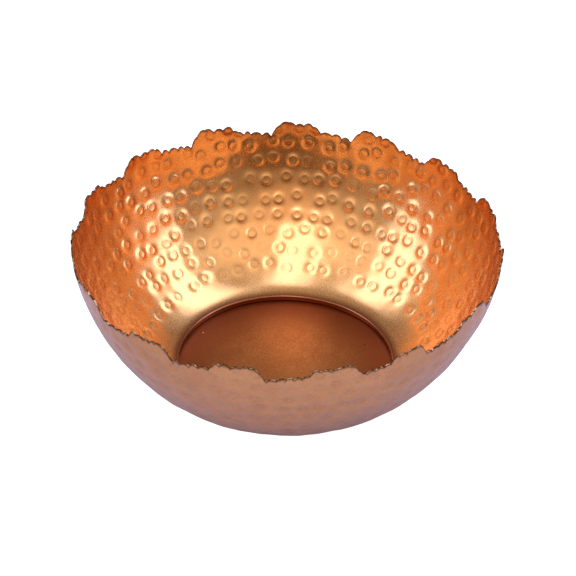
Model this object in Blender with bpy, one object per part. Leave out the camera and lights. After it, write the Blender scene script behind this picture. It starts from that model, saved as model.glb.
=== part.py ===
"""Ring-punched copper bowl with a torn, nibbled rim, built from its separate pieces.

The bowl stands on z = 0 with its axis on +Z. Angles go counter-clockwise seen from above and
start at the front of the bowl, which is -Y. Lengths are metres.
"""

from math import ceil, cos, pi, radians, sin, tau

import bmesh
import bpy

MM = 0.001

# Driving dimensions of the bowl.
RIM_RADIUS = 150.0 * MM        # inside of the wall at the top of the tallest petals
LIP_RADIUS = 78.2 * MM         # where the wall meets its turned-in lip, round the floor
WALL_RISE = 105.2 * MM         # from the lip up to the top of the tallest petals
WALL_FULLNESS = 1.57           # 1 is a straight cone, 2 is an elliptical bowl
SHEET = 1.2 * MM               # copper sheet of the wall and the pan
FIT_GAP = 0.3 * MM             # between pieces that touch

# The lip turned down into the floor pan, and the pan itself.
LIP_BEND = 1.5 * MM            # radius of the lip's visible side
FLOOR_DROP = 4.5 * MM          # from the lip down to the floor of the pan
PAN_BEND = 0.3 * MM            # inside radius of the pan's corner
FLOOR_FLAT = 72.0 * MM         # radius of the flat middle of the pan
PAN_SINK = 0.2 * MM            # how far the sheet sinks outside it, where the edge was turned up

# The braze run round the pan, under the wall.
BRAZE_LEG = 2.4 * MM           # how far it reaches along the wall and down the pan
BRAZE_HOLLOW = 0.5 * MM        # how far its face is hollowed between the two

# Felt pads under the pan.
PAD_RADIUS = 9.0 * MM
PAD_THICKNESS = 2.0 * MM
PAD_EDGE = 0.5 * MM            # rounding of a pad's edges
PAD_INSET = 8.0 * MM           # from the pan's outside to a pad's edge
PADS = (
    ("foot_pad_front_right", 45),
    ("foot_pad_back_right", 135),
    ("foot_pad_back_left", 225),
    ("foot_pad_front_left", 315),
)

# The rim is cut by hand into petals of uneven width: one notch before each petal, in degrees.
NOTCHES = (20.5, 39.3, 66, 90.7, 115.2, 138.6, 162, 185.1, 208.7, 233, 256.1, 278, 304.6, 330, 355.2)

# One petal, going round from its notch: a low shelf, a tear up to a high shelf, the crest, and
# the curve down to the next notch. Shares are of the petal's width, heights are above the notch.
LOW_SHELF_END = 0.40
HIGH_SHELF_START = 0.49
HIGH_SHELF_END = 0.71
CREST_AT = 0.80
LOW_SHELF_RISE = (0.9 * MM, 3.9 * MM)
HIGH_SHELF_RISE = 9.0 * MM
CREST_RISE = 11.3 * MM
NIBBLE = 1.0 * MM              # height of one nibbled scallop
LOW_NIBBLES = 3
HIGH_NIBBLES = 2

# Mesh fineness.
FINE_PER_PETAL = 30            # columns along the torn edge
FINE_PER_COARSE = 5            # columns of the edge that meet one column of the plain wall
WALL_ROWS = 10
RIM_BAND = 4.0 * MM            # from the deepest notch down to the plain wall
ROUND_SEGMENTS = 90
PAD_SEGMENTS = 32
ARC_STEP = radians(30)

# Heights that follow from the sizes above.
PAN_BOTTOM = PAD_THICKNESS + FIT_GAP
FLOOR_TOP = PAN_BOTTOM + SHEET
LIP_TOP = FLOOR_TOP + FLOOR_DROP
NOTCH_HEIGHT = WALL_RISE - CREST_RISE
COLLAR_RADIUS = LIP_RADIUS - LIP_BEND
PAN_INSIDE = COLLAR_RADIUS + SHEET + FIT_GAP
PAN_OUTSIDE = PAN_INSIDE + SHEET


def mix(start, end, share):
    return start + (end - start) * share


def arc(centre_r, centre_z, radius, start, end):
    """Points of an arc in the (r, z) plane, angles in radians from +r towards +z."""
    steps = max(1, ceil(abs(end - start) / ARC_STEP))
    angles = [mix(start, end, i / steps) for i in range(steps + 1)]
    return [(centre_r + radius * cos(a), centre_z + radius * sin(a)) for a in angles]


def wall_radius(rise):
    """Inside radius of the wall at a height above the lip."""
    left = 1 - min(max(rise / WALL_RISE, 0), 1)
    reach = (1 - left**WALL_FULLNESS) ** (1 / WALL_FULLNESS)
    return mix(LIP_RADIUS, RIM_RADIUS, reach)


def wall_rise(radius):
    """Height above the lip at which the wall's inside has this radius."""
    reach = (radius - LIP_RADIUS) / (RIM_RADIUS - LIP_RADIUS)
    return WALL_RISE * (1 - (1 - reach**WALL_FULLNESS) ** (1 / WALL_FULLNESS))


def petal_rise(share):
    """Height of the torn edge above the notch, at a share of the petal's width."""
    if share == 0:
        return 0
    if share < LOW_SHELF_END:
        along = share / LOW_SHELF_END
        return mix(*LOW_SHELF_RISE, along) + NIBBLE * abs(sin(pi * LOW_NIBBLES * along))
    if share < HIGH_SHELF_START:
        along = (share - LOW_SHELF_END) / (HIGH_SHELF_START - LOW_SHELF_END)
        return mix(LOW_SHELF_RISE[1], HIGH_SHELF_RISE, along)
    if share < HIGH_SHELF_END:
        along = (share - HIGH_SHELF_START) / (HIGH_SHELF_END - HIGH_SHELF_START)
        return HIGH_SHELF_RISE + NIBBLE * abs(sin(pi * HIGH_NIBBLES * along))
    if share < CREST_AT:
        along = (share - HIGH_SHELF_END) / (CREST_AT - HIGH_SHELF_END)
        return mix(HIGH_SHELF_RISE, CREST_RISE, sin(pi / 2 * along))
    along = (share - CREST_AT) / (1 - CREST_AT)
    return CREST_RISE * (1 - along**2)


def rim_columns():
    """(angle, height above the lip) along the torn edge, with a column exactly on each notch."""
    columns = []
    for i, notch in enumerate(NOTCHES):
        next_notch = NOTCHES[(i + 1) % len(NOTCHES)]
        width = (next_notch - notch) % 360
        for step in range(FINE_PER_PETAL):
            share = step / FINE_PER_PETAL
            angle = radians(notch + width * share)
            columns.append((angle, NOTCH_HEIGHT + petal_rise(share)))
    return columns


def on_circle(radius, angle, z):
    return (radius * sin(angle), -radius * cos(angle), z)


def finish_object(name, mesh, material, parent):
    """Give a mesh its material and smooth shading, and put it under the bowl's empty."""
    if not mesh.materials:
        mesh.materials.append(material)
    mesh.shade_smooth()
    mesh.set_sharp_from_angle(angle=radians(35))
    piece = bpy.data.objects.new(name, mesh)
    bpy.context.scene.collection.objects.link(piece)
    piece.parent = parent
    return piece


def metal_or_felt(name, colour, roughness, metallic):
    material = bpy.data.materials.new(name)
    material.use_nodes = True
    shader = material.node_tree.nodes["Principled BSDF"]
    shader.inputs["Base Color"].default_value = (*colour, 1)
    shader.inputs["Roughness"].default_value = roughness
    shader.inputs["Metallic"].default_value = metallic
    material.diffuse_color = (*colour, 1)
    return material


def turned_mesh(name, profile, segments):
    """Turn a closed (r, z) outline about the axis. It runs down its outer side, and a point at
    r = 0 becomes one pole."""
    mesh = bpy.data.meshes.new(name)
    bm = bmesh.new()
    rings = []
    for r, z in profile:
        if r == 0:
            rings.append([bm.verts.new((0, 0, z))] * segments)
        else:
            rings.append([bm.verts.new(on_circle(r, tau * i / segments, z)) for i in range(segments)])
    for upper, lower in zip(rings, rings[1:] + rings[:1]):
        for i in range(segments):
            j = (i + 1) % segments
            corners = [upper[i], lower[i], lower[j], upper[j]]
            corners = list(dict.fromkeys(corners))
            if len(corners) > 2:
                bm.faces.new(corners)
    bm.to_mesh(mesh)
    bm.free()
    return mesh


def make_wall(material, parent):
    """The raised side wall: its inner skin up to the torn edge, thickened outwards."""
    columns = rim_columns()
    coarse_angles = [angle for angle, _ in columns[::FINE_PER_COARSE]]
    collar = [(COLLAR_RADIUS, FLOOR_TOP + FIT_GAP)]
    lip = arc(LIP_RADIUS, LIP_TOP - LIP_BEND, LIP_BEND, pi, pi / 2)
    side = []
    plain_top = NOTCH_HEIGHT - RIM_BAND
    for row in range(1, WALL_ROWS + 1):
        # Rows crowd towards the lip, where the wall curves fastest.
        rise = plain_top * (row / WALL_ROWS) ** 2
        side.append((wall_radius(rise), LIP_TOP + rise))

    bm = bmesh.new()
    rings = [[bm.verts.new(on_circle(r, a, z)) for a in coarse_angles] for r, z in collar + lip + side]
    edge = [bm.verts.new(on_circle(wall_radius(rise), a, LIP_TOP + rise)) for a, rise in columns]
    count = len(coarse_angles)
    for lower, upper in zip(rings, rings[1:]):
        for i in range(count):
            j = (i + 1) % count
            bm.faces.new((lower[i], upper[i], upper[j], lower[j]))
    top = rings[-1]
    half = FINE_PER_COARSE // 2
    for i in range(count):
        j = (i + 1) % count
        fine = [edge[(i * FINE_PER_COARSE + k) % len(edge)] for k in range(FINE_PER_COARSE + 1)]
        for k in range(FINE_PER_COARSE):
            bm.faces.new((top[i] if k <= half else top[j], fine[k], fine[k + 1]))
        bm.faces.new((top[i], fine[half + 1], top[j]))
    mesh = bpy.data.meshes.new("bowl_wall")
    bm.to_mesh(mesh)
    bm.free()

    wall = finish_object("bowl_wall", mesh, material, parent)
    thickness = wall.modifiers.new("sheet", "SOLIDIFY")
    thickness.thickness = SHEET
    thickness.offset = -1
    thickness.use_even_offset = True
    return wall


def make_pan(material, parent):
    """The floor pan: a flat disc with a short upstanding edge outside the wall's collar."""
    edge_top = LIP_TOP - SHEET - FIT_GAP
    outer_bend = PAN_BEND + SHEET
    bend_centre = (PAN_INSIDE - PAN_BEND, FLOOR_TOP - PAN_SINK + PAN_BEND)
    profile = [(PAN_INSIDE, edge_top), (PAN_OUTSIDE, edge_top)]
    profile += arc(*bend_centre, outer_bend, 0, -pi / 2)
    profile += [(FLOOR_FLAT, PAN_BOTTOM), (0, PAN_BOTTOM), (0, FLOOR_TOP), (FLOOR_FLAT, FLOOR_TOP)]
    profile += arc(*bend_centre, PAN_BEND, -pi / 2, 0)
    return finish_object("base_dish", turned_mesh("base_dish", profile, ROUND_SEGMENTS), material, parent)


def make_braze(material, parent):
    """The fillet of braze in the corner between the pan's edge and the underside of the wall."""
    inside = PAN_OUTSIDE + FIT_GAP
    outside = inside + BRAZE_LEG

    def underside(radius):
        """Just below the wall's outer skin, which is one sheet down, square to the wall."""
        rise = wall_rise(radius)
        ahead = wall_rise(radius + SHEET)
        tilt = ((ahead - rise) ** 2 + SHEET**2) ** 0.5 / SHEET
        return LIP_TOP + rise - (SHEET + FIT_GAP) * tilt

    steps = 3
    top = [(mix(inside, outside, i / steps), underside(mix(inside, outside, i / steps)))
           for i in range(steps + 1)]
    foot = (inside, top[0][1] - BRAZE_LEG)
    middle = (mix(outside, inside, 0.5) - BRAZE_HOLLOW, mix(top[-1][1], foot[1], 0.5) + BRAZE_HOLLOW)
    profile = top + [middle, foot]
    return finish_object("braze_ring", turned_mesh("braze_ring", profile, ROUND_SEGMENTS), material, parent)


def make_pads(material, parent):
    """Felt pads stuck under the pan, evenly round it."""
    rounded_top = arc(PAD_RADIUS - PAD_EDGE, PAD_THICKNESS - PAD_EDGE, PAD_EDGE, pi / 2, 0)
    rounded_foot = arc(PAD_RADIUS - PAD_EDGE, PAD_EDGE, PAD_EDGE, 0, -pi / 2)
    profile = [(0, PAD_THICKNESS)] + rounded_top + rounded_foot + [(0, 0)]
    mesh = turned_mesh("foot_pad", profile, PAD_SEGMENTS)
    circle = PAN_OUTSIDE - PAD_INSET - PAD_RADIUS
    for name, degrees in PADS:
        pad = finish_object(name, mesh, material, parent)
        pad.location = on_circle(circle, radians(degrees), 0)


for old in list(bpy.data.objects):
    bpy.data.objects.remove(old)

bowl = bpy.data.objects.new("bowl", None)
bpy.context.scene.collection.objects.link(bowl)

make_wall(metal_or_felt("punched_copper", (0.80, 0.40, 0.16), 0.34, 1), bowl)
make_pan(metal_or_felt("plain_copper", (0.55, 0.23, 0.10), 0.42, 1), bowl)
make_braze(metal_or_felt("braze_metal", (0.62, 0.42, 0.20), 0.5, 1), bowl)
make_pads(metal_or_felt("brown_felt", (0.10, 0.07, 0.05), 0.95, 0), bowl)
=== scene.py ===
"""The finished look of a ring-punched copper bowl with a torn, nibbled rim.

Angles on the bowl start at its front, -Y, and go counter-clockwise seen from above. "Rise" is
height above the lip round the floor. Lengths are metres.
"""

from math import cos, degrees, pi, radians, sin, tau
from random import Random

import bpy
import numpy as np
from mathutils import Matrix, Vector, noise
from mathutils.geometry import delaunay_2d_cdt


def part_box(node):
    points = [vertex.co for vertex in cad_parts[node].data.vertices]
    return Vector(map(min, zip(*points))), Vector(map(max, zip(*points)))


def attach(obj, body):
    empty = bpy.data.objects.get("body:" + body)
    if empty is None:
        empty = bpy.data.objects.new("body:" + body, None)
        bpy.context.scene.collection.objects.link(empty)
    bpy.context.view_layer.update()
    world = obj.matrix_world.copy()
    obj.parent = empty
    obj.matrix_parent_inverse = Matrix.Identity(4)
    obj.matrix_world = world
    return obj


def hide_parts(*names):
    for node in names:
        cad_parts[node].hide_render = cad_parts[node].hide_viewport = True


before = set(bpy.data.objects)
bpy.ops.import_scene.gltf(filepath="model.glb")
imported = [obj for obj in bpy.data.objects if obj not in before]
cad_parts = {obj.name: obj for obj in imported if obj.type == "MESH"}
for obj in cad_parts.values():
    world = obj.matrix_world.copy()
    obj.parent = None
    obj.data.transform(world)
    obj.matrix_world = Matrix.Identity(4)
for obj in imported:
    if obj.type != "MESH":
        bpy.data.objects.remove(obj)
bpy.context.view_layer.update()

# ---------------------------------------------------------------------------------------------
# The studio: a pale sweep in a white room, with a strip of softboxes over each side of the bowl and
# one in front above the camera. The camera looks down at the bowl from the front, through a long
# lens.
# ---------------------------------------------------------------------------------------------
scene = bpy.context.scene
scene.view_settings.view_transform = "Standard"

CAMERA_ELEVATION = radians(36.3)
CAMERA_DISTANCE = 2.123
CAMERA_AIM = Vector((0, 0, 0.053))
CAMERA_TILT = radians(0.382)       # up from the aim, which sets the bowl a little low
CAMERA_PAN = radians(0.037)
CAMERA_ROLL = radians(0.97)

camera_data = bpy.data.cameras.new("camera")
camera_data.lens = 187.06
camera_data.sensor_width = 36
camera_data.clip_end = 50
camera = bpy.data.objects.new("camera", camera_data)
scene.collection.objects.link(camera)
towards_camera = Vector((0, -cos(CAMERA_ELEVATION), sin(CAMERA_ELEVATION)))
camera_turn = (
    Matrix.Rotation(-CAMERA_PAN, 4, "Z")
    @ Matrix.Rotation(pi / 2 - CAMERA_ELEVATION + CAMERA_TILT, 4, "X")
    @ Matrix.Rotation(CAMERA_ROLL, 4, "Z")
)
camera.matrix_world = Matrix.Translation(CAMERA_AIM + towards_camera * CAMERA_DISTANCE) @ camera_turn
scene.camera = camera

# Each glow is a soft patch of light on the room round the bowl: degrees round from the front,
# degrees up, how tight it is, and its brightness and colour together. The wall behind the camera
# is warmer than the rest of the room.
GLOWS = (
    ("front", 0, 38, 12, (1.10, 0.84, 0.62)),
    ("front_right", 45, 42, 12, (1.32, 1.30, 1.26)),
    ("right", 90, 42, 12, (0.40, 0.40, 0.40)),
    ("back_right", 120, 12, 9, (0.62, 0.62, 0.62)),
    ("back", 180, 42, 12, (0.20, 0.20, 0.20)),
    ("back_left", 240, 12, 9, (0.80, 0.80, 0.80)),
    ("left", 270, 42, 12, (0.72, 0.72, 0.72)),
    ("front_left", 315, 42, 12, (1.38, 1.36, 1.32)),
    ("over_back", 180, 68, 16, (0.46, 0.43, 0.38)),
    ("overhead", 0, 76, 14, (0.66, 0.62, 0.55)),
)
# Each strip of softboxes runs from its low end to its high end, given like the glows, and has a
# half width in degrees and a brightness.
STRIPS = (
    ("right_strip", (78, 6), (146, 64), 10.5, 3.0),
    ("left_strip", (-74, 6), (-122, 64), 10.5, 2.6),
    ("front_strip", (-9, 38), (171, 84), 7.5, 2.5),
)
STRIP_COLOUR = (0.90, 1.12, 1.60)  # a cooler white than the room
STRIP_SOFTNESS = 3.0               # degrees over which a strip's edge fades
world = bpy.data.worlds.new("studio")
world.use_nodes = True
studio = world.node_tree
room_side = studio.nodes.new("ShaderNodeTexCoord").outputs["Generated"]


def towards(around, up):
    """Direction from the bowl, in degrees round from the front and degrees up."""
    around, up = radians(around), radians(up)
    return Vector((sin(around) * cos(up), -cos(around) * cos(up), sin(up)))


def new_node(tree, kind, *values, **settings):
    """Add a node, set its options, and link or set its inputs in order; None leaves one alone."""
    node = tree.nodes.new(kind)
    for name, setting in settings.items():
        setattr(node, name, setting)
    for socket, value in zip([socket for socket in node.inputs if socket.enabled], values):
        if isinstance(value, bpy.types.NodeSocket):
            tree.links.new(value, socket)
        elif value is not None:
            socket.default_value = value
    return node


def new_math(tree, operation, *values, clamp=False):
    return new_node(tree, "ShaderNodeMath", *values, operation=operation, use_clamp=clamp).outputs[0]


def new_range(tree, value, low, high, at_low, at_high, **settings):
    """The value, turned from the range low to high into the range at_low to at_high."""
    return new_node(tree, "ShaderNodeMapRange", value, low, high, at_low, at_high, **settings).outputs[0]


def facing(direction, label):
    """Cosine of the angle between where the room is looked at and a direction."""
    return new_node(studio, "ShaderNodeVectorMath", room_side, direction, operation="DOT_PRODUCT",
                    label=label).outputs["Value"]


def with_light(so_far, share, colour):
    return new_node(studio, "ShaderNodeVectorMath", share, colour, so_far,
                    operation="MULTIPLY_ADD").outputs[0]


# The camera itself sees the room plain white all over.
room_light = studio.nodes.new("ShaderNodeLightPath").outputs["Is Camera Ray"]
for name, around, up, tightness, colour in GLOWS:
    off_centre = new_math(studio, "SUBTRACT", facing(towards(around, up), name), 1.0)
    falloff = new_math(studio, "EXPONENT", new_math(studio, "MULTIPLY", off_centre, tightness))
    room_light = with_light(room_light, falloff, colour)
for name, low_end, high_end, half_width, brightness in STRIPS:
    low_end, high_end = towards(*low_end), towards(*high_end)
    half_length = degrees(low_end.angle(high_end)) / 2
    aside = new_math(studio, "ABSOLUTE", facing(low_end.cross(high_end).normalized(), name))
    along = facing((low_end + high_end).normalized(), name)
    in_width = new_range(studio, aside, sin(radians(half_width - STRIP_SOFTNESS)),
                         sin(radians(half_width + STRIP_SOFTNESS)), 1.0, 0.0,
                         interpolation_type="SMOOTHSTEP")
    in_length = new_range(studio, along, cos(radians(half_length + STRIP_SOFTNESS)),
                          cos(radians(half_length - STRIP_SOFTNESS)), 0.0, 1.0,
                          interpolation_type="SMOOTHSTEP")
    lit = new_math(studio, "MULTIPLY", in_width, in_length)
    room_light = with_light(room_light, lit, Vector(STRIP_COLOUR) * brightness)
studio.links.new(room_light, studio.nodes["Background"].inputs["Color"])
scene.world = world

# The sweep reads pure white to the camera, and lights and mirrors in the copper as pale grey paper.
sweep_mesh = bpy.data.meshes.new("sweep")
SWEEP_REACH = 4
sweep_corners = ((-1, -1), (1, -1), (1, 1), (-1, 1))
sweep_mesh.from_pydata([(x * SWEEP_REACH, y * SWEEP_REACH, 0) for x, y in sweep_corners], [], [(0, 1, 2, 3)])
sweep = bpy.data.objects.new("sweep", sweep_mesh)
scene.collection.objects.link(sweep)
paper = bpy.data.materials.new("white_paper")
paper.use_nodes = True
paper_nodes = paper.node_tree.nodes
paper_shader = paper_nodes["Principled BSDF"]
PALE_GREY = (0.53, 0.475, 0.585, 1)
paper_shader.inputs["Base Color"].default_value = PALE_GREY
paper_shader.inputs["Roughness"].default_value = 0.9
paper_shader.inputs["Specular IOR Level"].default_value = 0
paper_shader.inputs["Emission Color"].default_value = (1, 1, 1, 1)
paper.node_tree.links.new(paper_nodes.new("ShaderNodeLightPath").outputs["Is Camera Ray"],
                          paper_shader.inputs["Emission Strength"])
sweep_mesh.materials.append(paper)

# ---------------------------------------------------------------------------------------------
# Bowl wall: one piece of 1.2 mm copper sheet raised into a deep bowl, its bottom edge turned down
# as a lip, its rim cut into slanted petals and nibbled with snips. Each blow of a ring punch from
# outside raised a ring on a low dome inside and left a soft dent outside.
# ---------------------------------------------------------------------------------------------
MM = 0.001
wall_low, wall_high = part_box("bowl_wall")
SHEET = 1.2 * MM                   # thickness of the copper
WALL_RISE = 105.2 * MM
WALL_FULLNESS = 1.57
RIM_RADIUS = 150.0 * MM
LIP_RADIUS = 78.2 * MM
LIP_BEND = 1.5 * MM
LIP_TOP = wall_high.z - WALL_RISE
COLLAR_FOOT = wall_low.z

NOTCHES = (20.5, 39.3, 66, 90.7, 115.2, 138.6, 162, 185.1, 208.7, 233, 256.1, 278, 304.6, 330, 355.2)
LOW_SHELF_END = 0.40
HIGH_SHELF_START = 0.49
HIGH_SHELF_END = 0.71
CREST_AT = 0.80
LOW_SHELF_RISE = (0.9 * MM, 3.9 * MM)
HIGH_SHELF_RISE = 9.0 * MM
CREST_RISE = 11.3 * MM
NIBBLE = 2.2 * MM                  # height of one scallop bitten out by the snips
NIBBLE_WIDTH = 6.2 * MM
CREST_NIBBLE = 0.45                # share of a full scallop that is bitten out over the crest
RAGGED = 0.05                      # raggedness that the snips leave, in mm

RIM_COLUMNS = 1500
LIP_COLUMNS = 300


def petal_rise(share):
    """Height of the torn edge above the notch, at a share of the petal's width."""
    if share < LOW_SHELF_END:
        along = share / LOW_SHELF_END
        return (LOW_SHELF_RISE[0] + (LOW_SHELF_RISE[1] - LOW_SHELF_RISE[0]) * along) * min(1, share / 0.03)
    if share < HIGH_SHELF_START:
        along = (share - LOW_SHELF_END) / (HIGH_SHELF_START - LOW_SHELF_END)
        return LOW_SHELF_RISE[1] + (HIGH_SHELF_RISE - LOW_SHELF_RISE[1]) * along
    if share < HIGH_SHELF_END:
        return HIGH_SHELF_RISE
    if share < CREST_AT:
        along = (share - HIGH_SHELF_END) / (CREST_AT - HIGH_SHELF_END)
        return HIGH_SHELF_RISE + (CREST_RISE - HIGH_SHELF_RISE) * sin(pi / 2 * along)
    along = (share - CREST_AT) / (1 - CREST_AT)
    return CREST_RISE * (1 - along**2)


def nibbled_rim():
    """Height of the torn edge above the lip at every rim column, snipped bite by bite."""
    random = Random(11)
    rise = []
    bite, bite_width, bite_height = 0.0, NIBBLE_WIDTH, NIBBLE
    for column in range(RIM_COLUMNS):
        at = column * 360 / RIM_COLUMNS
        for notch, next_notch in zip(NOTCHES, NOTCHES[1:] + NOTCHES[:1]):
            width = (next_notch - notch) % 360
            past = (at - notch) % 360
            if past < width:
                break
        share = past / width
        on_shelf = 1 if share < HIGH_SHELF_END else CREST_NIBBLE
        scallop = bite_height * on_shelf * (sin(pi * min(1, bite / bite_width)) ** 0.7 - 0.35)
        ragged = random.gauss(0, RAGGED) * MM
        rise.append(WALL_RISE - CREST_RISE + petal_rise(share) + scallop + ragged)
        bite += tau * RIM_RADIUS / RIM_COLUMNS
        if bite >= bite_width:
            bite = 0.0
            bite_width = NIBBLE_WIDTH * random.uniform(0.75, 1.3)
            bite_height = NIBBLE * random.uniform(0.6, 1.2)
    return np.minimum(np.array(rise), WALL_RISE)


# The wall's section is followed by its "climb", the integral of arc length over radius. On a
# sheet of angle against climb, small circles stay circles, so the sheet can be triangulated flat.
section_turn = np.linspace(0, pi / 2, 6001)
section_r = LIP_RADIUS + (RIM_RADIUS - LIP_RADIUS) * np.sin(section_turn) ** (2 / WALL_FULLNESS)
section_z = WALL_RISE * (1 - np.cos(section_turn) ** (2 / WALL_FULLNESS))
SLOPING_LIP = 3.0 * MM             # the wall runs straight into its lip over this last stretch
lip_end = np.searchsorted(section_r, LIP_RADIUS + SLOPING_LIP)
lip_slope = (section_z[lip_end + 1] - section_z[lip_end]) / (section_r[lip_end + 1] - section_r[lip_end])
section_z[:lip_end] = section_z[lip_end] + lip_slope * (section_r[:lip_end] - section_r[lip_end])
section_step = np.hypot(np.diff(section_r), np.diff(section_z))
section_arc = np.concatenate([[0], np.cumsum(section_step)])
section_climb = np.concatenate([[0], np.cumsum(section_step / ((section_r[1:] + section_r[:-1]) / 2))])


def at_climb(values, climb):
    return np.interp(climb, section_climb, values)


def on_wall(angle, climb, skin):
    """Points of the plain wall, and the way out of the sheet there. skin is 0 inside, 1 outside."""
    reach = 1e-4
    r = at_climb(section_r, climb)
    z = at_climb(section_z, climb)
    above = np.minimum(climb + reach, section_climb[-1])
    below = np.maximum(climb - reach, 0)
    run = at_climb(section_r, above) - at_climb(section_r, below)
    lift = at_climb(section_z, above) - at_climb(section_z, below)
    length = np.hypot(run, lift)
    out_r, out_z = lift / length, -run / length
    outward = np.stack([out_r * np.sin(angle), -out_r * np.cos(angle), out_z], axis=-1)
    place = np.stack([r * np.sin(angle), -r * np.cos(angle), LIP_TOP + z], axis=-1)
    return place + outward * (np.asarray(skin)[..., None] * SHEET), outward


rim_angles = np.arange(RIM_COLUMNS) * tau / RIM_COLUMNS
rim_edge_rise = nibbled_rim()
rim_edge_climb = np.interp(rim_edge_rise, section_z, section_climb)
rim_radius = at_climb(section_r, rim_edge_climb)

# Where the ring punch struck: rows of blows round the wall, unevenly spaced by hand.
BLOW_ROW_GAP = 13.2 * MM
BLOW_SPACING = 13.4 * MM
BLOW_CLEAR = 9.6 * MM
LOWEST_BLOW = 13.0 * MM            # along the wall, up from the lip
BLOW_SCATTER = 0.24                # along its row, as a share of the spacing
ROW_SCATTER = 2.8                  # up and down from its row, in mm
BLOW_STRENGTH = (0.45, 1.25)
blow_random = Random(4)
rim_arc = np.interp(rim_edge_climb, section_climb, section_arc)
blows = []
row_arc = float(rim_arc.max()) - 4 * MM
while row_arc > LOWEST_BLOW:
    row_climb = float(np.interp(row_arc, section_arc, section_climb))
    row_radius = float(at_climb(section_r, row_climb))
    in_row = round(tau * row_radius / BLOW_SPACING)
    start = blow_random.uniform(0, tau)
    for i in range(in_row):
        angle = start + (i + blow_random.uniform(-BLOW_SCATTER, BLOW_SCATTER)) * tau / in_row
        arc_at = row_arc + blow_random.uniform(-ROW_SCATTER, ROW_SCATTER) * MM
        blows.append([angle % tau, max(arc_at, LOWEST_BLOW), blow_random.uniform(*BLOW_STRENGTH)])
    row_arc -= BLOW_ROW_GAP
blows = np.array(blows)
for _ in range(12):
    climbs = np.interp(blows[:, 1], section_arc, section_climb)
    radius = at_climb(section_r, climbs)
    step_angle = (blows[:, None, 0] - blows[None, :, 0] + pi) % tau - pi
    step_arc = blows[:, None, 1] - blows[None, :, 1]
    across = step_angle * radius[:, None]
    apart = np.hypot(across, step_arc) + np.eye(len(blows))
    push = np.where(apart < BLOW_CLEAR, (BLOW_CLEAR - apart) / apart * 0.5, 0)
    blows[:, 0] += (push * across).sum(axis=1) / radius
    blows[:, 1] += (push * step_arc).sum(axis=1)
    blows[:, 1] = np.maximum(blows[:, 1], LOWEST_BLOW)
blows[:, 0] %= tau
edge_at_blow = np.interp(blows[:, 0], rim_angles, rim_arc, period=tau)
blows = blows[blows[:, 1] < edge_at_blow + 1.5 * MM]
blow_climb = np.interp(blows[:, 1], section_arc, section_climb)
blow_place, _ = on_wall(blows[:, 0], blow_climb, np.zeros(len(blows)))
blow_mesh = bpy.data.meshes.new("blows")
blow_mesh.from_pydata([tuple(p) for p in blow_place], [], [])
blow_mesh.attributes.new("strength", "FLOAT", "POINT").data.foreach_set("value", blows[:, 2])
blow_points = bpy.data.objects.new("blows", blow_mesh)
scene.collection.objects.link(blow_points)

# Mesh points of the two skins: rings round every blow inside, an even spread elsewhere.
RING_POINTS = ((0, 1), (1.2, 8), (2.2, 13), (2.9, 15), (3.6, 15), (4.6, 14), (6.4, 12))
RIM_BAND = 2.4 * MM
INSIDE_SPACING = 2.6 * MM
OUTSIDE_SPACING = 2.7 * MM
band_climb = rim_edge_climb - RIM_BAND / rim_radius
lip_angles = np.arange(LIP_COLUMNS) * tau / LIP_COLUMNS


def spread(spacing, shift):
    """Evenly spaced points on the whole sheet of angle against climb."""
    points = []
    climb_at = spacing / LIP_RADIUS
    row = 0
    while climb_at < section_climb[-1]:
        radius_at = float(at_climb(section_r, climb_at))
        in_row = round(tau * radius_at / spacing)
        for i in range(in_row):
            points.append(((i + 0.5 * (row % 2) + shift) * tau / in_row % tau, climb_at))
        climb_at += spacing * 0.87 / radius_at
        row += 1
    return np.array(points)


def keep_inside(points, margin):
    """Drop points that are nearer to the band under the rim, or to the lip, than margin."""
    edge = np.interp(points[:, 0], rim_angles, band_climb, period=tau)
    near = margin / at_climb(section_r, points[:, 1])
    steep = np.abs(np.interp(points[:, 0] + 0.004, rim_angles, band_climb, period=tau)
                   - np.interp(points[:, 0] - 0.004, rim_angles, band_climb, period=tau)) / 0.008
    return points[(points[:, 1] < edge - near * np.sqrt(1 + steep**2)) & (points[:, 1] > near)]


def triangulate(inner_points):
    """Triangles over the sheet between the lip and the band under the rim. The points are the
    band's, then the lip's, then the given ones."""
    border = np.concatenate([np.stack([rim_angles, band_climb], axis=-1),
                             np.stack([lip_angles, np.zeros(LIP_COLUMNS)], axis=-1)])
    # A hair of unevenness leaves no four points on one circle, which could be split either way.
    hair = np.random.default_rng(2).uniform(-1, 1, inner_points.shape) * 1e-4
    points = np.concatenate([border, inner_points + hair])
    overlap = 0.15
    before = np.flatnonzero(points[:, 0] > tau - overlap)
    after = np.flatnonzero(points[:, 0] < overlap)
    index = np.concatenate([np.arange(len(points)), before, after])
    flat = np.concatenate([points, points[before] - [tau, 0], points[after] + [tau, 0]])
    position = {}
    turns = np.repeat([0, -1, 1], [len(points), len(before), len(after)])
    for i, (source, turn) in enumerate(zip(index, turns)):
        if source < RIM_COLUMNS:
            position[int(source + turn * RIM_COLUMNS)] = i
    edges = [(position[k], position[k + 1]) for k in sorted(position) if k + 1 in position]
    result = delaunay_2d_cdt([Vector(p) for p in flat.tolist()], edges, [], 0, 1e-7, True)
    source_of = np.array([index[sources[0]] for sources in result[3]])
    corner = np.array([tuple(v) for v in result[0]])
    faces = np.array([f for f in result[2] if len(f) == 3])
    centre = corner[faces].mean(axis=1)
    edge = np.interp(centre[:, 0], rim_angles, band_climb, period=tau)
    keep = (centre[:, 0] >= 0) & (centre[:, 0] < tau) & (centre[:, 1] < edge)
    faces = source_of[faces[keep]]
    whole = (faces[:, 0] != faces[:, 1]) & (faces[:, 1] != faces[:, 2]) & (faces[:, 2] != faces[:, 0])
    return points, faces[whole]


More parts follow.
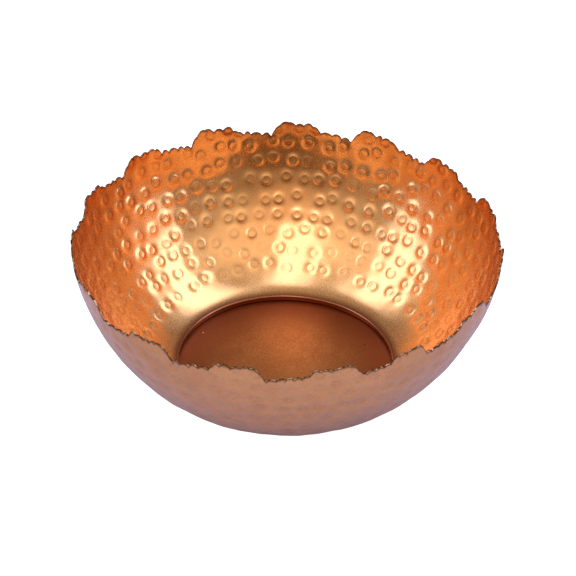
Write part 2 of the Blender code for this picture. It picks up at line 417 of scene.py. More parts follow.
ring_points = []
for angle, climb_at in zip(blows[:, 0], blow_climb):
    radius_at = float(at_climb(section_r, climb_at))
    turn = 0
    for ring_radius, count in RING_POINTS:
        turn += 0.5
        for i in range(count):
            way = (i + turn) * tau / count
            ring_points.append(((angle + ring_radius * MM * cos(way) / radius_at) % tau,
                                climb_at + ring_radius * MM * sin(way) / radius_at))
ring_points = keep_inside(np.array(ring_points), 0.35 * MM)


def away_from_rings(points):
    """Drop evenly spread points that fall inside the outermost ring of a blow."""
    clear = (RING_POINTS[-1][0] + 0.9) * MM
    kept = []
    for start in range(0, len(points), 2000):
        part = points[start:start + 2000]
        across = (part[:, None, 0] - blows[None, :, 0] + pi) % tau - pi
        radius = at_climb(section_r, part[:, 1])[:, None]
        apart = np.hypot(across, part[:, None, 1] - blow_climb[None, :]) * radius
        kept.append(part[apart.min(axis=1) > clear])
    return np.concatenate(kept)


inside_points, inside_faces = triangulate(
    np.concatenate([ring_points, keep_inside(away_from_rings(spread(INSIDE_SPACING, 0.3)), 1.0 * MM)])
)
outside_points, outside_faces = triangulate(keep_inside(spread(OUTSIDE_SPACING, 0.1), 1.2 * MM))

# The raw edge goes over from one skin to the other: depth below the edge, share of the sheet.
EDGE_SECTION = ((1.3, 0), (0.6, 0), (0.2, 0), (0.03, 0.16), (0, 0.5), (0.03, 0.84), (0.2, 1), (0.6, 1),
                (1.3, 1))
# The lip goes from the inside skin round and down to its foot, and back up to the outside skin:
# radius, height, how far the sheet has turned, share of the sheet.
SHARP_BEND = 0.9 * MM
COLLAR_RADIUS = LIP_RADIUS - LIP_BEND
wall_turn = np.arctan(lip_slope)
lip_low = LIP_TOP + float(section_z[0])
bend_r = COLLAR_RADIUS + SHARP_BEND
bend_z = lip_low - (LIP_RADIUS - bend_r) * lip_slope - SHARP_BEND
lip_section = [(bend_r - SHARP_BEND * sin(a), bend_z + SHARP_BEND * cos(a), a, 0)
               for a in np.linspace(wall_turn, pi / 2, 7)]
lip_section += [(COLLAR_RADIUS, COLLAR_FOOT + 0.2 * MM, pi / 2, 0),
                (COLLAR_RADIUS + 0.2 * MM, COLLAR_FOOT, pi / 2, 0.2),
                (COLLAR_RADIUS + SHEET - 0.2 * MM, COLLAR_FOOT, pi / 2, 0.8),
                (COLLAR_RADIUS + SHEET, COLLAR_FOOT + 0.2 * MM, pi / 2, 1),
                (COLLAR_RADIUS + SHEET, lip_low - 1.6 * MM, pi / 2, 1)]

place_parts = []
outward_parts = []
skin_parts = []
below_parts = []


def add_points(place, outward, skin, below):
    """Keep one run of the wall's points, and return their numbers."""
    first = sum(len(part) for part in place_parts)
    place_parts.append(place)
    outward_parts.append(outward)
    skin_parts.append(np.broadcast_to(skin, len(place)))
    below_parts.append(np.broadcast_to(below, len(place)))
    return np.arange(first, first + len(place))


def add_skin(points, skin):
    place, outward = on_wall(points[:, 0], points[:, 1], np.full(len(points), skin))
    edge = np.interp(points[:, 0], rim_angles, rim_edge_climb, period=tau)
    below = (edge - points[:, 1]) * at_climb(section_r, points[:, 1])
    return add_points(place, outward, skin, below)


inside = add_skin(inside_points, 0)
outside = add_skin(outside_points, 1)
edge_rows = [inside[:RIM_COLUMNS]]
for depth, share in EDGE_SECTION:
    skin = np.full(RIM_COLUMNS, share)
    place, outward = on_wall(rim_angles, rim_edge_climb - depth * MM / rim_radius, skin)
    edge_rows.append(add_points(place, outward, share, depth * MM))
edge_rows.append(outside[:RIM_COLUMNS])
lip_rows = [inside[RIM_COLUMNS:RIM_COLUMNS + LIP_COLUMNS]]
for r, z, turn, share in lip_section:
    outward = np.stack([sin(turn) * np.sin(lip_angles), -sin(turn) * np.cos(lip_angles),
                        np.full(LIP_COLUMNS, -cos(turn))], axis=-1)
    place = np.stack([r * np.sin(lip_angles), -r * np.cos(lip_angles), np.full(LIP_COLUMNS, z)], axis=-1)
    lip_rows.append(add_points(place, outward, share, 1.0))
lip_rows.append(outside[RIM_COLUMNS:RIM_COLUMNS + LIP_COLUMNS])


def ribbon(rows):
    """Four-sided faces between closed rows of points."""
    faces = []
    for row, next_row in zip(rows, rows[1:]):
        faces.append(np.stack([row, np.roll(row, -1), np.roll(next_row, -1), next_row], axis=-1))
    return np.concatenate(faces).tolist()


wall_faces = inside[inside_faces].tolist()
wall_faces += outside[outside_faces][:, ::-1].tolist()
wall_faces += ribbon(edge_rows)
wall_faces += ribbon(lip_rows[::-1])
place = np.concatenate(place_parts)
outward = np.concatenate(outward_parts)

# Hand raising leaves the sheet slightly uneven: broad hollows, and long flats from the planishing
# hammer that run up the wall. Each is its size round the wall, its length up it, and its depth.
UNEVEN = ((26 * MM, 26 * MM, 0.45 * MM), (9 * MM, 60 * MM, 0.16 * MM), (12 * MM, 12 * MM, 0.16 * MM))
MIDDLE_RADIUS = 0.115              # of the wall
round_wall = place[:, :2] / np.hypot(place[:, 0], place[:, 1])[:, None] * MIDDLE_RADIUS
uneven = np.zeros(len(place))
for across, along, deep in UNEVEN:
    spots = np.column_stack([round_wall / across, place[:, 2] / along]).tolist()
    uneven += np.array([noise.noise(Vector(spot)) for spot in spots]) * deep
uneven *= np.clip((place[:, 2] - LIP_TOP) / (12 * MM), 0, 1)
place = place + outward * uneven[:, None]

wall_mesh = bpy.data.meshes.new("bowl_wall_punched")
wall_mesh.from_pydata(place.tolist(), [], wall_faces)
for name, values in (("skin", np.concatenate(skin_parts)), ("below_edge", np.concatenate(below_parts))):
    wall_mesh.attributes.new(name, "FLOAT", "POINT").data.foreach_set("value", values.astype(np.float32))
wall_mesh.attributes.new("outward", "FLOAT_VECTOR", "POINT").data.foreach_set("vector", outward.ravel())
wall_mesh.flip_normals()
wall_mesh.shade_smooth()
wall = bpy.data.objects.new("bowl_wall_punched", wall_mesh)
scene.collection.objects.link(wall)

# The punch pushes both skins towards the inside, by how near they are to a blow. That raises the
# ring and the dome on the inside skin, and sinks the dent into the outside skin.
punch = bpy.data.node_groups.new("ring_punch", "GeometryNodeTree")
punch_face = punch.interface
punch_face.new_socket("Geometry", in_out="INPUT", socket_type="NodeSocketGeometry")
punch_face.new_socket("Geometry", in_out="OUTPUT", socket_type="NodeSocketGeometry")
punch_face.new_socket("Blows", in_out="INPUT", socket_type="NodeSocketObject")
punch_face.new_socket("Copper", in_out="INPUT", socket_type="NodeSocketMaterial")
PUNCH_SIZES = {
    "Sheet": SHEET,
    "Ring Radius": 3.05 * MM,
    "Ring Width": 0.8 * MM,
    "Ring Height": 0.20 * MM,
    "Pit Radius": 1.5 * MM,
    "Pit Depth": 0.07 * MM,
    "Dome Radius": 7.0 * MM,
    "Dome Height": 0.48 * MM,
    "Dent Radius": 7.4 * MM,
    "Dent Depth": 0.75 * MM,
    "Ring Groove": 0.08 * MM,
}
for name in PUNCH_SIZES:
    punch_face.new_socket(name, in_out="INPUT", socket_type="NodeSocketFloat")
given = punch.nodes.new("NodeGroupInput").outputs
skin_share = new_node(punch, "GeometryNodeInputNamedAttribute", "skin", data_type="FLOAT").outputs[0]
way_out = new_node(punch, "GeometryNodeInputNamedAttribute", "outward", data_type="FLOAT_VECTOR").outputs[0]
here = new_node(punch, "GeometryNodeInputPosition").outputs[0]
sheet_depth = new_math(punch, "MULTIPLY", skin_share, given["Sheet"])
to_inside = new_node(punch, "ShaderNodeVectorMath", way_out, operation="SCALE")
punch.links.new(sheet_depth, to_inside.inputs["Scale"])
inside_place = new_node(punch, "ShaderNodeVectorMath", here, to_inside.outputs[0],
                        operation="SUBTRACT").outputs[0]
struck = new_node(punch, "GeometryNodeObjectInfo", given["Blows"]).outputs["Geometry"]
nearest = new_node(punch, "GeometryNodeSampleNearest", struck, inside_place, domain="POINT").outputs[0]
centre = new_node(punch, "GeometryNodeSampleIndex", struck, here, nearest,
                  data_type="FLOAT_VECTOR").outputs[0]
blow_strength = new_node(punch, "GeometryNodeInputNamedAttribute", "strength", data_type="FLOAT").outputs[0]
strength = new_node(punch, "GeometryNodeSampleIndex", struck, blow_strength, nearest,
                    data_type="FLOAT").outputs[0]
apart = new_node(punch, "ShaderNodeVectorMath", inside_place, centre, operation="DISTANCE").outputs["Value"]


def bell(distance, middle, width):
    """1 at the middle distance, falling off smoothly over the width."""
    off = new_math(punch, "DIVIDE", new_math(punch, "SUBTRACT", distance, middle), width)
    squared = new_math(punch, "MULTIPLY", off, off)
    return new_math(punch, "EXPONENT", new_math(punch, "MULTIPLY", squared, -1.0))


def dome(distance, radius):
    """1 at the centre, smoothly down to 0 at the radius."""
    off = new_math(punch, "DIVIDE", distance, radius)
    left = new_math(punch, "SUBTRACT", 1.0, new_math(punch, "MULTIPLY", off, off), clamp=True)
    return new_math(punch, "MULTIPLY", left, left)


ring = bell(apart, given["Ring Radius"], given["Ring Width"])
ridge = new_math(punch, "MULTIPLY", ring, given["Ring Height"])
pit = new_math(punch, "MULTIPLY", bell(apart, 0.0, given["Pit Radius"]), given["Pit Depth"])
hump = new_math(punch, "MULTIPLY", dome(apart, given["Dome Radius"]), given["Dome Height"])
raised = new_math(punch, "SUBTRACT", new_math(punch, "ADD", ridge, hump), pit)
dent = new_math(punch, "MULTIPLY", dome(apart, given["Dent Radius"]), given["Dent Depth"])
sunk = new_math(punch, "ADD", dent, new_math(punch, "MULTIPLY", ring, given["Ring Groove"]))
inward = new_node(punch, "ShaderNodeMix", skin_share, raised, sunk, data_type="FLOAT").outputs[0]
depth = new_math(punch, "MULTIPLY", new_math(punch, "MULTIPLY", inward, strength), -1.0)
offset = new_node(punch, "ShaderNodeVectorMath", way_out, operation="SCALE")
punch.links.new(depth, offset.inputs["Scale"])
pushed = new_node(punch, "GeometryNodeSetPosition")
punch.links.new(given["Geometry"], pushed.inputs["Geometry"])
punch.links.new(offset.outputs[0], pushed.inputs["Offset"])
marked = new_node(punch, "GeometryNodeStoreNamedAttribute", data_type="FLOAT", domain="POINT")
marked.inputs["Name"].default_value = "ring"
punch.links.new(pushed.outputs[0], marked.inputs["Geometry"])
punch.links.new(new_math(punch, "MULTIPLY", ring, strength), marked.inputs["Value"])
whole = new_node(punch, "GeometryNodeRealizeInstances", marked.outputs[0])
coppered = new_node(punch, "GeometryNodeSetMaterial", whole.outputs[0])
punch.links.new(given["Copper"], coppered.inputs["Material"])
new_node(punch, "NodeGroupOutput", coppered.outputs[0])

# Metal grain, shared by every metal piece: fine grain, broad tone and a few dark specks.
GRAIN_SIZE = 0.8 * MM
BLOTCH_SIZE = 14 * MM
SPECK_CELLS = 260                  # to the metre; few of them hold a speck
SPECK_RARITY = 0.93
grain = bpy.data.node_groups.new("metal_grain", "ShaderNodeTree")
for name, size in (("Grain Size", GRAIN_SIZE), ("Blotch Size", BLOTCH_SIZE)):
    grain.interface.new_socket(name, in_out="INPUT", socket_type="NodeSocketFloat").default_value = size
for name in ("Grain", "Blotch", "Speck"):
    grain.interface.new_socket(name, in_out="OUTPUT", socket_type="NodeSocketFloat")
grain_given = grain.nodes.new("NodeGroupInput").outputs
grain_place = new_node(grain, "ShaderNodeTexCoord").outputs["Object"]
grain_out = grain.nodes.new("NodeGroupOutput").inputs
fine = new_node(grain, "ShaderNodeTexNoise", grain_place, noise_dimensions="3D")
grain.links.new(new_math(grain, "DIVIDE", 1.0, grain_given["Grain Size"]), fine.inputs["Scale"])
fine.inputs["Detail"].default_value = 3
grain.links.new(fine.outputs[0], grain_out["Grain"])
broad = new_node(grain, "ShaderNodeTexNoise", grain_place, noise_dimensions="3D")
grain.links.new(new_math(grain, "DIVIDE", 1.0, grain_given["Blotch Size"]), broad.inputs["Scale"])
broad.inputs["Detail"].default_value = 4
grain.links.new(broad.outputs[0], grain_out["Blotch"])
specks = new_node(grain, "ShaderNodeTexVoronoi", grain_place, voronoi_dimensions="3D", feature="F1")
specks.inputs["Scale"].default_value = SPECK_CELLS
speck_size = new_range(grain, specks.outputs["Distance"], 0.0, 0.16, 1.0, 0.0)
rare = new_node(grain, "ShaderNodeSeparateColor", specks.outputs["Color"]).outputs[0]
rare = new_math(grain, "GREATER_THAN", rare, SPECK_RARITY)
grain.links.new(new_math(grain, "MULTIPLY", speck_size, rare, clamp=True), grain_out["Speck"])


def mixed(tree, share, first, second):
    """The colour that is first where share is 0 and second where it is 1."""
    return new_node(tree, "ShaderNodeMix", share, first, second, data_type="RGBA").outputs[2]


LACQUER = 0.4                      # weight of the clear lacquer's coat
LACQUER_ROUGHNESS = 0.25
SPECK_COLOUR = (0.30, 0.12, 0.05, 1)


def metal(name, tone, dark_tone, roughness, grain_height):
    """Satin lacquered metal. Its colour, roughness and bump follow the grain; returns the
    material, its tree, its shader and the colour's socket, for more to be laid over it."""
    material = bpy.data.materials.new(name)
    material.use_nodes = True
    tree = material.node_tree
    shader = tree.nodes["Principled BSDF"]
    shader.inputs["Metallic"].default_value = 1
    shader.inputs["Coat Weight"].default_value = LACQUER
    shader.inputs["Coat Roughness"].default_value = LACQUER_ROUGHNESS
    texture = new_node(tree, "ShaderNodeGroup", node_tree=grain)
    texture.inputs["Grain Size"].default_value = GRAIN_SIZE
    texture.inputs["Blotch Size"].default_value = BLOTCH_SIZE
    blotch = new_range(tree, texture.outputs["Blotch"], 0.35, 0.65, 0.0, 1.0)
    colour = mixed(tree, blotch, (*dark_tone, 1), (*tone, 1))
    colour = mixed(tree, texture.outputs["Speck"], colour, SPECK_COLOUR)
    tree.links.new(colour, shader.inputs["Base Color"])
    rough = new_range(tree, texture.outputs["Grain"], 0.3, 0.7, roughness - 0.05, roughness + 0.06)
    tree.links.new(rough, shader.inputs["Roughness"])
    relief = new_node(tree, "ShaderNodeBump")
    relief.inputs["Distance"].default_value = grain_height
    tree.links.new(texture.outputs["Grain"], relief.inputs["Height"])
    tree.links.new(relief.outputs[0], shader.inputs["Normal"])
    return material, tree, shader, colour


# The cut edge is burnt dark brown, fading down both skins, with painted highlights in dashes on top.
# Tarnish and painted shade darken the rings' crests, and painted shade darkens the corner where the lip goes
# down to the base dish.
BURNT = (0.085, 0.030, 0.010, 1)
BURNT_REACH = 2.4 * MM
EDGE_PATCH = 2.6 * MM              # length of the burnt edge's patches and dashes
EDGE_PAINTED_HIGHLIGHT = (0.50, 0.30, 0.17, 1)
PAINTED_HIGHLIGHT_REACH = 0.25 * MM
RING_TARNISH_AND_SHADE = (0.44, 0.18, 0.06, 1)
RING_TARNISH_AND_SHADE_SHARE = 0.36
CORNER_PAINTED_SHADE = (0.26, 0.085, 0.028, 1)
CORNER_TOP = LIP_TOP + 0.4 * MM
punched_copper, tree, shader, colour = metal("copper_sheet_punched", (0.74, 0.36, 0.128),
                                             (0.68, 0.315, 0.108), 0.235, 0.008 * MM)
# Tarnish and painted shade: the rings' crests are darkened towards a dark brown.
crest = new_node(tree, "ShaderNodeAttribute", attribute_name="ring").outputs["Fac"]
crest = new_math(tree, "MULTIPLY", crest, RING_TARNISH_AND_SHADE_SHARE, clamp=True)
colour = mixed(tree, crest, colour, RING_TARNISH_AND_SHADE)
below = new_node(tree, "ShaderNodeAttribute", attribute_name="below_edge").outputs["Fac"]
wall_place = new_node(tree, "ShaderNodeTexCoord").outputs["Object"]
patches = new_node(tree, "ShaderNodeTexNoise", wall_place)
patches.inputs["Scale"].default_value = 1 / EDGE_PATCH
burn_end = new_range(tree, patches.outputs[0], 0.3, 0.7, BURNT_REACH * 0.5, BURNT_REACH * 1.2)
burnt = new_math(tree, "SUBTRACT", 1.0, new_math(tree, "DIVIDE", below, burn_end), clamp=True)
burnt = new_math(tree, "POWER", burnt, 0.8)
colour = mixed(tree, burnt, colour, BURNT)
# Painted highlight: pale dashes of colour along the top of the cut edge.
on_edge = new_range(tree, below, 0.0, PAINTED_HIGHLIGHT_REACH, 1.0, 0.0)
dashes = new_range(tree, patches.outputs[0], 0.50, 0.58, 0.0, 1.0)
colour = mixed(tree, new_math(tree, "MULTIPLY", on_edge, dashes), colour, EDGE_PAINTED_HIGHLIGHT)
lacquer = new_math(tree, "MULTIPLY", new_math(tree, "SUBTRACT", 1.0, burnt), LACQUER)
tree.links.new(lacquer, shader.inputs["Coat Weight"])
# Painted shade: the copper darkens in the corner where the lip goes down to the base dish.
height = new_node(tree, "ShaderNodeSeparateXYZ", wall_place).outputs["Z"]
in_corner = new_range(tree, height, CORNER_TOP - 0.6 * MM, CORNER_TOP + 0.5 * MM, 1.0, 0.0)
colour = mixed(tree, in_corner, colour, CORNER_PAINTED_SHADE)
tree.links.new(colour, shader.inputs["Base Color"])


def made_with(piece, group, values):
    """Run a Geometry Nodes group on a piece, its inputs set from their names, and make the result
    the piece's own plain mesh."""
    modifier = piece.modifiers.new(group.name, "NODES")
    modifier.node_group = group
    for item in group.interface.items_tree:
        if item.in_out == "INPUT" and item.name in values:
            modifier[item.identifier] = values[item.name]
    mesh = bpy.data.meshes.new_from_object(piece.evaluated_get(bpy.context.evaluated_depsgraph_get()))
    piece.modifiers.clear()
    piece.data = mesh


made_with(wall, punch, {**PUNCH_SIZES, "Blows": blow_points, "Copper": punched_copper})
bpy.data.objects.remove(blow_points)
wall.data.attributes.remove(wall.data.attributes["outward"])
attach(wall, "root")
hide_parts("bowl_wall")

# ---------------------------------------------------------------------------------------------
# Base dish: the sunk floor of the bowl, a flat disc of the same copper sheet with a short edge
# turned up outside the wall's lip. It is left unpunched, and has a small pit and a bright speck of painted
# highlight.
# ---------------------------------------------------------------------------------------------
dish_low, dish_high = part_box("base_dish")
DISH_FLAT = 72.0 * MM              # radius of the flat middle
DISH_SINK = 0.2 * MM               # how far the sheet sinks outside it
DISH_BEND = 0.3 * MM               # inside radius of the turned-up edge's bend
DISH_COLUMNS = 240
dish_outside = dish_high.x
dish_inside = dish_outside - SHEET
dish_under = dish_low.z + DISH_SINK
dish_top = dish_under + SHEET


def bend_points(radius, start, end, steps):
    """Points (r, z) round the dish's bend, from one angle to the other."""
    centre_r, centre_z = dish_inside - DISH_BEND, dish_top - DISH_SINK + DISH_BEND
    return [(centre_r + radius * cos(a), centre_z + radius * sin(a)) for a in np.linspace(start, end, steps)]


LIP_ROUNDING = 0.2 * MM
DISH_RINGS = 24
flat_rings = [DISH_FLAT * (i + 1) / DISH_RINGS for i in range(DISH_RINGS)]
dish_profile = [(r, dish_top) for r in flat_rings]
dish_profile += bend_points(DISH_BEND, -pi / 2, 0, 4)
dish_profile += [(dish_inside, dish_high.z - LIP_ROUNDING), (dish_inside + LIP_ROUNDING, dish_high.z),
                 (dish_outside - LIP_ROUNDING, dish_high.z), (dish_outside, dish_high.z - LIP_ROUNDING)]
dish_profile += bend_points(DISH_BEND + SHEET, 0, -pi / 2, 8)
dish_profile += [(r, dish_under) for r in flat_rings[::-1]]


def turned(name, profile, columns, tops=None):
    """Turn a (r, z) line about the axis: closed on itself, or with a pole at each end if tops
    gives their heights."""
    angles = np.arange(columns) * tau / columns
    points = [(r * sin(a), -r * cos(a), z) for r, z in profile for a in angles]
    number = np.arange(len(points)).reshape(len(profile), columns)
    rows = list(number) if tops else list(number) + [number[0]]
    faces = ribbon(rows)
    if tops:
        points += [(0, 0, tops[0]), (0, 0, tops[1])]
        first, last = len(points) - 2, len(points) - 1
        for i in range(columns):
            j = (i + 1) % columns
            faces += [(first, number[0][j], number[0][i]), (last, number[-1][i], number[-1][j])]
    mesh = bpy.data.meshes.new(name)
    mesh.from_pydata(points, [], [face[::-1] for face in faces])
    mesh.shade_smooth()
    piece = bpy.data.objects.new(name, mesh)
    scene.collection.objects.link(piece)
    return piece


dish = turned("base_dish_plain", dish_profile, DISH_COLUMNS, (dish_top, dish_under))
dish.data.set_sharp_from_angle(angle=radians(50))
DISH_UNEVEN = 0.04 * MM            # how far the sheet is from flat
DISH_HOLLOW = 22 * MM              # size of its hollows
for vertex in dish.data.vertices:
    vertex.co.z += noise.noise(Vector((vertex.co.x, vertex.co.y, 0)) / DISH_HOLLOW) * DISH_UNEVEN
PIT = (57.6 * MM, 24.0 * MM, dish_top)
GLINT_SPOT = (-60.1 * MM, 35.3 * MM, dish_top)
DISH_MIDDLE = 22 * MM              # the copper darkens from here out to the corner
DISH_SHADE_AND_SPECKLE = (0.22, 0.052, 0.015, 1)
DISH_SPECKLE = 1.5 * MM            # size of the satin lacquer's speckle
DISH_LACQUER = 0.15
PIT_COLOUR = (0.02, 0.008, 0.004, 1)
PAINTED_GLINT_COLOUR = (0.95, 0.80, 0.62, 1)
# The dish's copper is set darker than the wall's.
plain_copper, tree, shader, colour = metal("copper_sheet_plain", (0.54, 0.228, 0.076),
                                           (0.48, 0.190, 0.062), 0.36, 0.05 * MM)
shader.inputs["Coat Weight"].default_value = DISH_LACQUER
dish_place = new_node(tree, "ShaderNodeTexCoord").outputs["Object"]
from_axis = new_node(tree, "ShaderNodeVectorMath", dish_place, operation="LENGTH").outputs["Value"]
# Painted shade: the floor darkens from the middle out to the corner under the lip; its speckle uses the same
# dark tone.
painted_corner_shade = new_range(tree, from_axis, DISH_MIDDLE, dish_inside, 0.0, 1.0, interpolation_type="SMOOTHSTEP")
colour = mixed(tree, painted_corner_shade, colour, DISH_SHADE_AND_SPECKLE)
speckle = new_node(tree, "ShaderNodeTexNoise", dish_place)
speckle.inputs["Scale"].default_value = 1 / DISH_SPECKLE
speckled = new_range(tree, speckle.outputs[0], 0.40, 0.62, 0.32, 0.0)
colour = mixed(tree, speckled, colour, DISH_SHADE_AND_SPECKLE)
# A small dark pit, and a painted highlight: a bright speck of glint on the floor.
for spot, size, spot_colour in ((PIT, 0.8 * MM, PIT_COLOUR), (GLINT_SPOT, 0.6 * MM, PAINTED_GLINT_COLOUR)):
    away = new_node(tree, "ShaderNodeVectorMath", dish_place, spot, operation="DISTANCE").outputs["Value"]
    colour = mixed(tree, new_range(tree, away, size * 0.5, size, 1.0, 0.0), colour, spot_colour)
tree.links.new(colour, shader.inputs["Base Color"])
dish.data.materials.append(plain_copper)
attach(dish, "root")
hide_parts("base_dish")

# ---------------------------------------------------------------------------------------------
# Braze ring: the bead of brass-coloured braze run round under the bowl, in the corner between the
# dish's edge and the wall. It was laid in short dabs, which left ripples along it.
# ---------------------------------------------------------------------------------------------
braze_low, braze_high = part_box("braze_ring")
BRAZE_GAP = 0.3 * MM
BRAZE_COLUMNS = 900
BRAZE_HOLLOW = 0.35 * MM
braze_inside = dish_outside + BRAZE_GAP
braze_outside = braze_high.x
under_r = np.linspace(braze_inside, braze_outside, 4)
under_share = (under_r - LIP_RADIUS) / (RIM_RADIUS - LIP_RADIUS)
under_rise = WALL_RISE * (1 - (1 - under_share**WALL_FULLNESS) ** (1 / WALL_FULLNESS))
under_slope = np.gradient(under_rise, under_r)
under_z = LIP_TOP + under_rise - (SHEET + BRAZE_GAP) * np.sqrt(1 + under_slope**2)
under_z = np.minimum(under_z, braze_high.z)
braze_profile = list(zip(under_r, under_z))
face_start = (braze_outside, under_z[-1])
face_end = (braze_inside, braze_low.z)
for share in (0.15, 0.32, 0.5, 0.68, 0.85):
    r, z = np.array(face_start) + np.subtract(face_end, face_start) * share
    hollow = BRAZE_HOLLOW * sin(pi * share)
    braze_profile.append((r - hollow, z + hollow))
braze_profile.append(face_end)
braze = turned("braze_ring_rippled", [(float(r), float(z)) for r, z in braze_profile], BRAZE_COLUMNS)

ripple = bpy.data.node_groups.new("braze_ripples", "GeometryNodeTree")
ripple_face = ripple.interface
ripple_face.new_socket("Geometry", in_out="INPUT", socket_type="NodeSocketGeometry")
ripple_face.new_socket("Geometry", in_out="OUTPUT", socket_type="NodeSocketGeometry")
ripple_face.new_socket("Braze", in_out="INPUT", socket_type="NodeSocketMaterial")
RIPPLE_SIZES = {"Dabs": 190.0, "Ripple Height": 0.10 * MM, "Unevenness": 0.12 * MM, "Patch Size": 5 * MM}
for name in RIPPLE_SIZES:
    ripple_face.new_socket(name, in_out="INPUT", socket_type="NodeSocketFloat")
given = ripple.nodes.new("NodeGroupInput").outputs
here = new_node(ripple, "GeometryNodeInputPosition").outputs[0]
across, back, height = new_node(ripple, "ShaderNodeSeparateXYZ", here).outputs[:]
way_round = new_math(ripple, "ARCTAN2", across, back)
bead_facing = new_node(ripple, "GeometryNodeInputNormal").outputs[0]
steepness = new_node(ripple, "ShaderNodeSeparateXYZ", bead_facing).outputs["Z"]
facing_down = new_math(ripple, "MULTIPLY", steepness, -1.0, clamp=True)
patches = new_node(ripple, "ShaderNodeTexNoise", here)
ripple.links.new(new_math(ripple, "DIVIDE", 1.0, given["Patch Size"]), patches.inputs["Scale"])
patch = new_math(ripple, "SUBTRACT", patches.outputs[0], 0.5)
phase = new_math(ripple, "ADD", new_math(ripple, "MULTIPLY", way_round, given["Dabs"]),
                 new_math(ripple, "MULTIPLY", patch, 3.0))
wave = new_math(ripple, "MULTIPLY", new_math(ripple, "SINE", phase), given["Ripple Height"])
wave = new_math(ripple, "ADD", wave, new_math(ripple, "MULTIPLY", patch, given["Unevenness"]))
swell = new_node(ripple, "ShaderNodeVectorMath", bead_facing, operation="SCALE")
ripple.links.new(new_math(ripple, "MULTIPLY", wave, facing_down), swell.inputs["Scale"])
rippled = new_node(ripple, "GeometryNodeSetPosition")
ripple.links.new(given["Geometry"], rippled.inputs["Geometry"])
ripple.links.new(swell.outputs[0], rippled.inputs["Offset"])
whole = new_node(ripple, "GeometryNodeRealizeInstances", rippled.outputs[0])
brazed = new_node(ripple, "GeometryNodeSetMaterial", whole.outputs[0])
ripple.links.new(given["Braze"], brazed.inputs["Material"])
new_node(ripple, "NodeGroupOutput", brazed.outputs[0])

braze_metal, *_ = metal("braze_bead", (0.62, 0.42, 0.18), (0.42, 0.24, 0.10), 0.42, 0.03 * MM)
made_with(braze, ripple, {**RIPPLE_SIZES, "Braze": braze_metal})
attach(braze, "root")
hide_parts("braze_ring")

# ---------------------------------------------------------------------------------------------
# Foot pads: four discs punched out of 2 mm pressed brown felt and stuck under the dish, so that
# the bowl stands quietly and level. Their cut edges are slightly fuzzy and uneven.
# ---------------------------------------------------------------------------------------------
PADS = ("foot_pad_front_right", "foot_pad_back_right", "foot_pad_back_left", "foot_pad_front_left")
pad_low, pad_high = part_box(PADS[0])
PAD_RADIUS = (pad_high.x - pad_low.x) / 2
PAD_THICKNESS = pad_high.z - pad_low.z
PAD_CIRCLE = Vector(((pad_high.x + pad_low.x) / 2, (pad_high.y + pad_low.y) / 2)).length
PAD_ROUNDING = 0.45 * MM
PAD_COLUMNS = 72

PAD_RINGS = (0.2, 0.4, 0.6, 0.8, 0.9)
felt_profile = [(PAD_RADIUS * share, PAD_THICKNESS) for share in PAD_RINGS]
for start, centre_z in ((pi / 2, PAD_THICKNESS - PAD_ROUNDING), (0, PAD_ROUNDING)):
    for turn in start - np.linspace(0, pi / 2, 4):
        felt_profile.append((PAD_RADIUS - PAD_ROUNDING * (1 - cos(turn)),
                             centre_z + PAD_ROUNDING * sin(turn)))
felt_profile += [(PAD_RADIUS * share, 0) for share in PAD_RINGS[::-1]]
felt_disc = turned("felt_disc", felt_profile, PAD_COLUMNS, (PAD_THICKNESS, 0))

FIBRE_SIZE = 0.35 * MM
FLECK_SIZE = 1.6 * MM
DARK_FIBRE = (0.060, 0.038, 0.026, 1)
LIGHT_FIBRE = (0.150, 0.105, 0.078, 1)
PALE_FLECK = (0.24, 0.18, 0.14, 1)
felt = bpy.data.materials.new("pressed_felt")
felt.use_nodes = True
tree = felt.node_tree
shader = tree.nodes["Principled BSDF"]
shader.inputs["Sheen Weight"].default_value = 0.35
felt_place = new_node(tree, "ShaderNodeTexCoord").outputs["Object"]
fibres = new_node(tree, "ShaderNodeTexNoise", felt_place)
fibres.inputs["Scale"].default_value = 1 / FIBRE_SIZE
fibres.inputs["Detail"].default_value = 4
fibres.inputs["Distortion"].default_value = 1.2
flecks = new_node(tree, "ShaderNodeTexNoise", felt_place)
flecks.inputs["Scale"].default_value = 1 / FLECK_SIZE
fibre_share = new_range(tree, fibres.outputs[0], 0.35, 0.65, 0.0, 1.0)
fleck_share = new_range(tree, flecks.outputs[0], 0.62, 0.72, 0.0, 0.6)
felt_colour = mixed(tree, fibre_share, DARK_FIBRE, LIGHT_FIBRE)
felt_colour = mixed(tree, fleck_share, felt_colour, PALE_FLECK)
tree.links.new(felt_colour, shader.inputs["Base Color"])
tree.links.new(new_range(tree, fibres.outputs[0], 0.3, 0.7, 0.88, 1.0), shader.inputs["Roughness"])
felt_relief = new_node(tree, "ShaderNodeBump")
felt_relief.inputs["Distance"].default_value = 0.15 * MM
tree.links.new(fibres.outputs[0], felt_relief.inputs["Height"])
tree.links.new(felt_relief.outputs[0], shader.inputs["Normal"])
felt_disc.data.materials.append(felt)

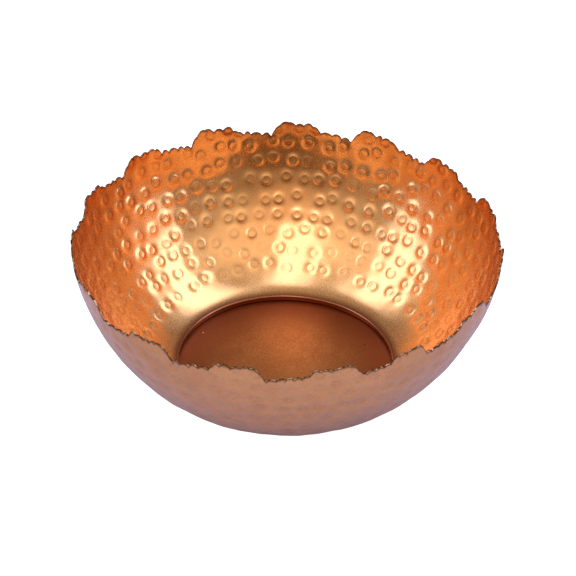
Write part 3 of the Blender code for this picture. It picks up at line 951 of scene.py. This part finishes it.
pads_tree = bpy.data.node_groups.new("felt_pads", "GeometryNodeTree")
pads_face = pads_tree.interface
pads_face.new_socket("Geometry", in_out="OUTPUT", socket_type="NodeSocketGeometry")
pads_face.new_socket("Felt Disc", in_out="INPUT", socket_type="NodeSocketObject")
pads_face.new_socket("Felt", in_out="INPUT", socket_type="NodeSocketMaterial")
pads_face.new_socket("Seed", in_out="INPUT", socket_type="NodeSocketInt")
PAD_SIZES = {"Circle Radius": PAD_CIRCLE, "Thickness": PAD_THICKNESS, "Fuzz Height": 0.16 * MM,
             "Fuzz Size": 1.1 * MM}
for name in PAD_SIZES:
    pads_face.new_socket(name, in_out="INPUT", socket_type="NodeSocketFloat")
given = pads_tree.nodes.new("NodeGroupInput").outputs
ring_of_four = new_node(pads_tree, "GeometryNodeMeshCircle")
ring_of_four.inputs["Vertices"].default_value = len(PADS)
pads_tree.links.new(given["Circle Radius"], ring_of_four.inputs["Radius"])
eighth = new_node(pads_tree, "GeometryNodeTransform", ring_of_four.outputs[0])
eighth.inputs["Rotation"].default_value = (0, 0, pi / 4)
disc = new_node(pads_tree, "GeometryNodeObjectInfo", given["Felt Disc"]).outputs["Geometry"]
any_turn = new_node(pads_tree, "FunctionNodeRandomValue", data_type="FLOAT_VECTOR")
any_turn.inputs["Min"].default_value = (0, 0, 0)
any_turn.inputs["Max"].default_value = (0, 0, tau)
pads_tree.links.new(given["Seed"], any_turn.inputs["Seed"])
stuck = new_node(pads_tree, "GeometryNodeInstanceOnPoints")
pads_tree.links.new(eighth.outputs[0], stuck.inputs["Points"])
pads_tree.links.new(disc, stuck.inputs["Instance"])
pads_tree.links.new(any_turn.outputs["Value"], stuck.inputs["Rotation"])
whole = new_node(pads_tree, "GeometryNodeRealizeInstances", stuck.outputs[0])
felt_here = new_node(pads_tree, "GeometryNodeInputPosition").outputs[0]
fuzz_noise = new_node(pads_tree, "ShaderNodeTexNoise", felt_here)
pads_tree.links.new(new_math(pads_tree, "DIVIDE", 1.0, given["Fuzz Size"]), fuzz_noise.inputs["Scale"])
height = new_node(pads_tree, "ShaderNodeSeparateXYZ", felt_here).outputs["Z"]
# Fuzz stands out most half way up the cut edge, and not at all on the two flat faces.
level = new_math(pads_tree, "DIVIDE", height, given["Thickness"])
left = new_math(pads_tree, "SUBTRACT", 1.0, level)
at_edge = new_math(pads_tree, "MULTIPLY", left, new_math(pads_tree, "MULTIPLY", level, 4.0), clamp=True)
fuzz = new_math(pads_tree, "MULTIPLY", new_math(pads_tree, "SUBTRACT", fuzz_noise.outputs[0], 0.5),
                new_math(pads_tree, "MULTIPLY", at_edge, given["Fuzz Height"]))
felt_facing = new_node(pads_tree, "GeometryNodeInputNormal").outputs[0]
outwards = new_node(pads_tree, "ShaderNodeVectorMath", felt_facing, operation="SCALE")
pads_tree.links.new(fuzz, outwards.inputs["Scale"])
fuzzy = new_node(pads_tree, "GeometryNodeSetPosition")
pads_tree.links.new(whole.outputs[0], fuzzy.inputs["Geometry"])
pads_tree.links.new(outwards.outputs[0], fuzzy.inputs["Offset"])
felted = new_node(pads_tree, "GeometryNodeSetMaterial", fuzzy.outputs[0])
pads_tree.links.new(given["Felt"], felted.inputs["Material"])
new_node(pads_tree, "NodeGroupOutput", felted.outputs[0])

pads = bpy.data.objects.new("felt_foot_pads", bpy.data.meshes.new("felt_foot_pads"))
scene.collection.objects.link(pads)
made_with(pads, pads_tree, {**PAD_SIZES, "Felt Disc": felt_disc, "Felt": felt, "Seed": 7})
bpy.data.objects.remove(felt_disc)
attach(pads, "root")
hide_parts(*PADS)
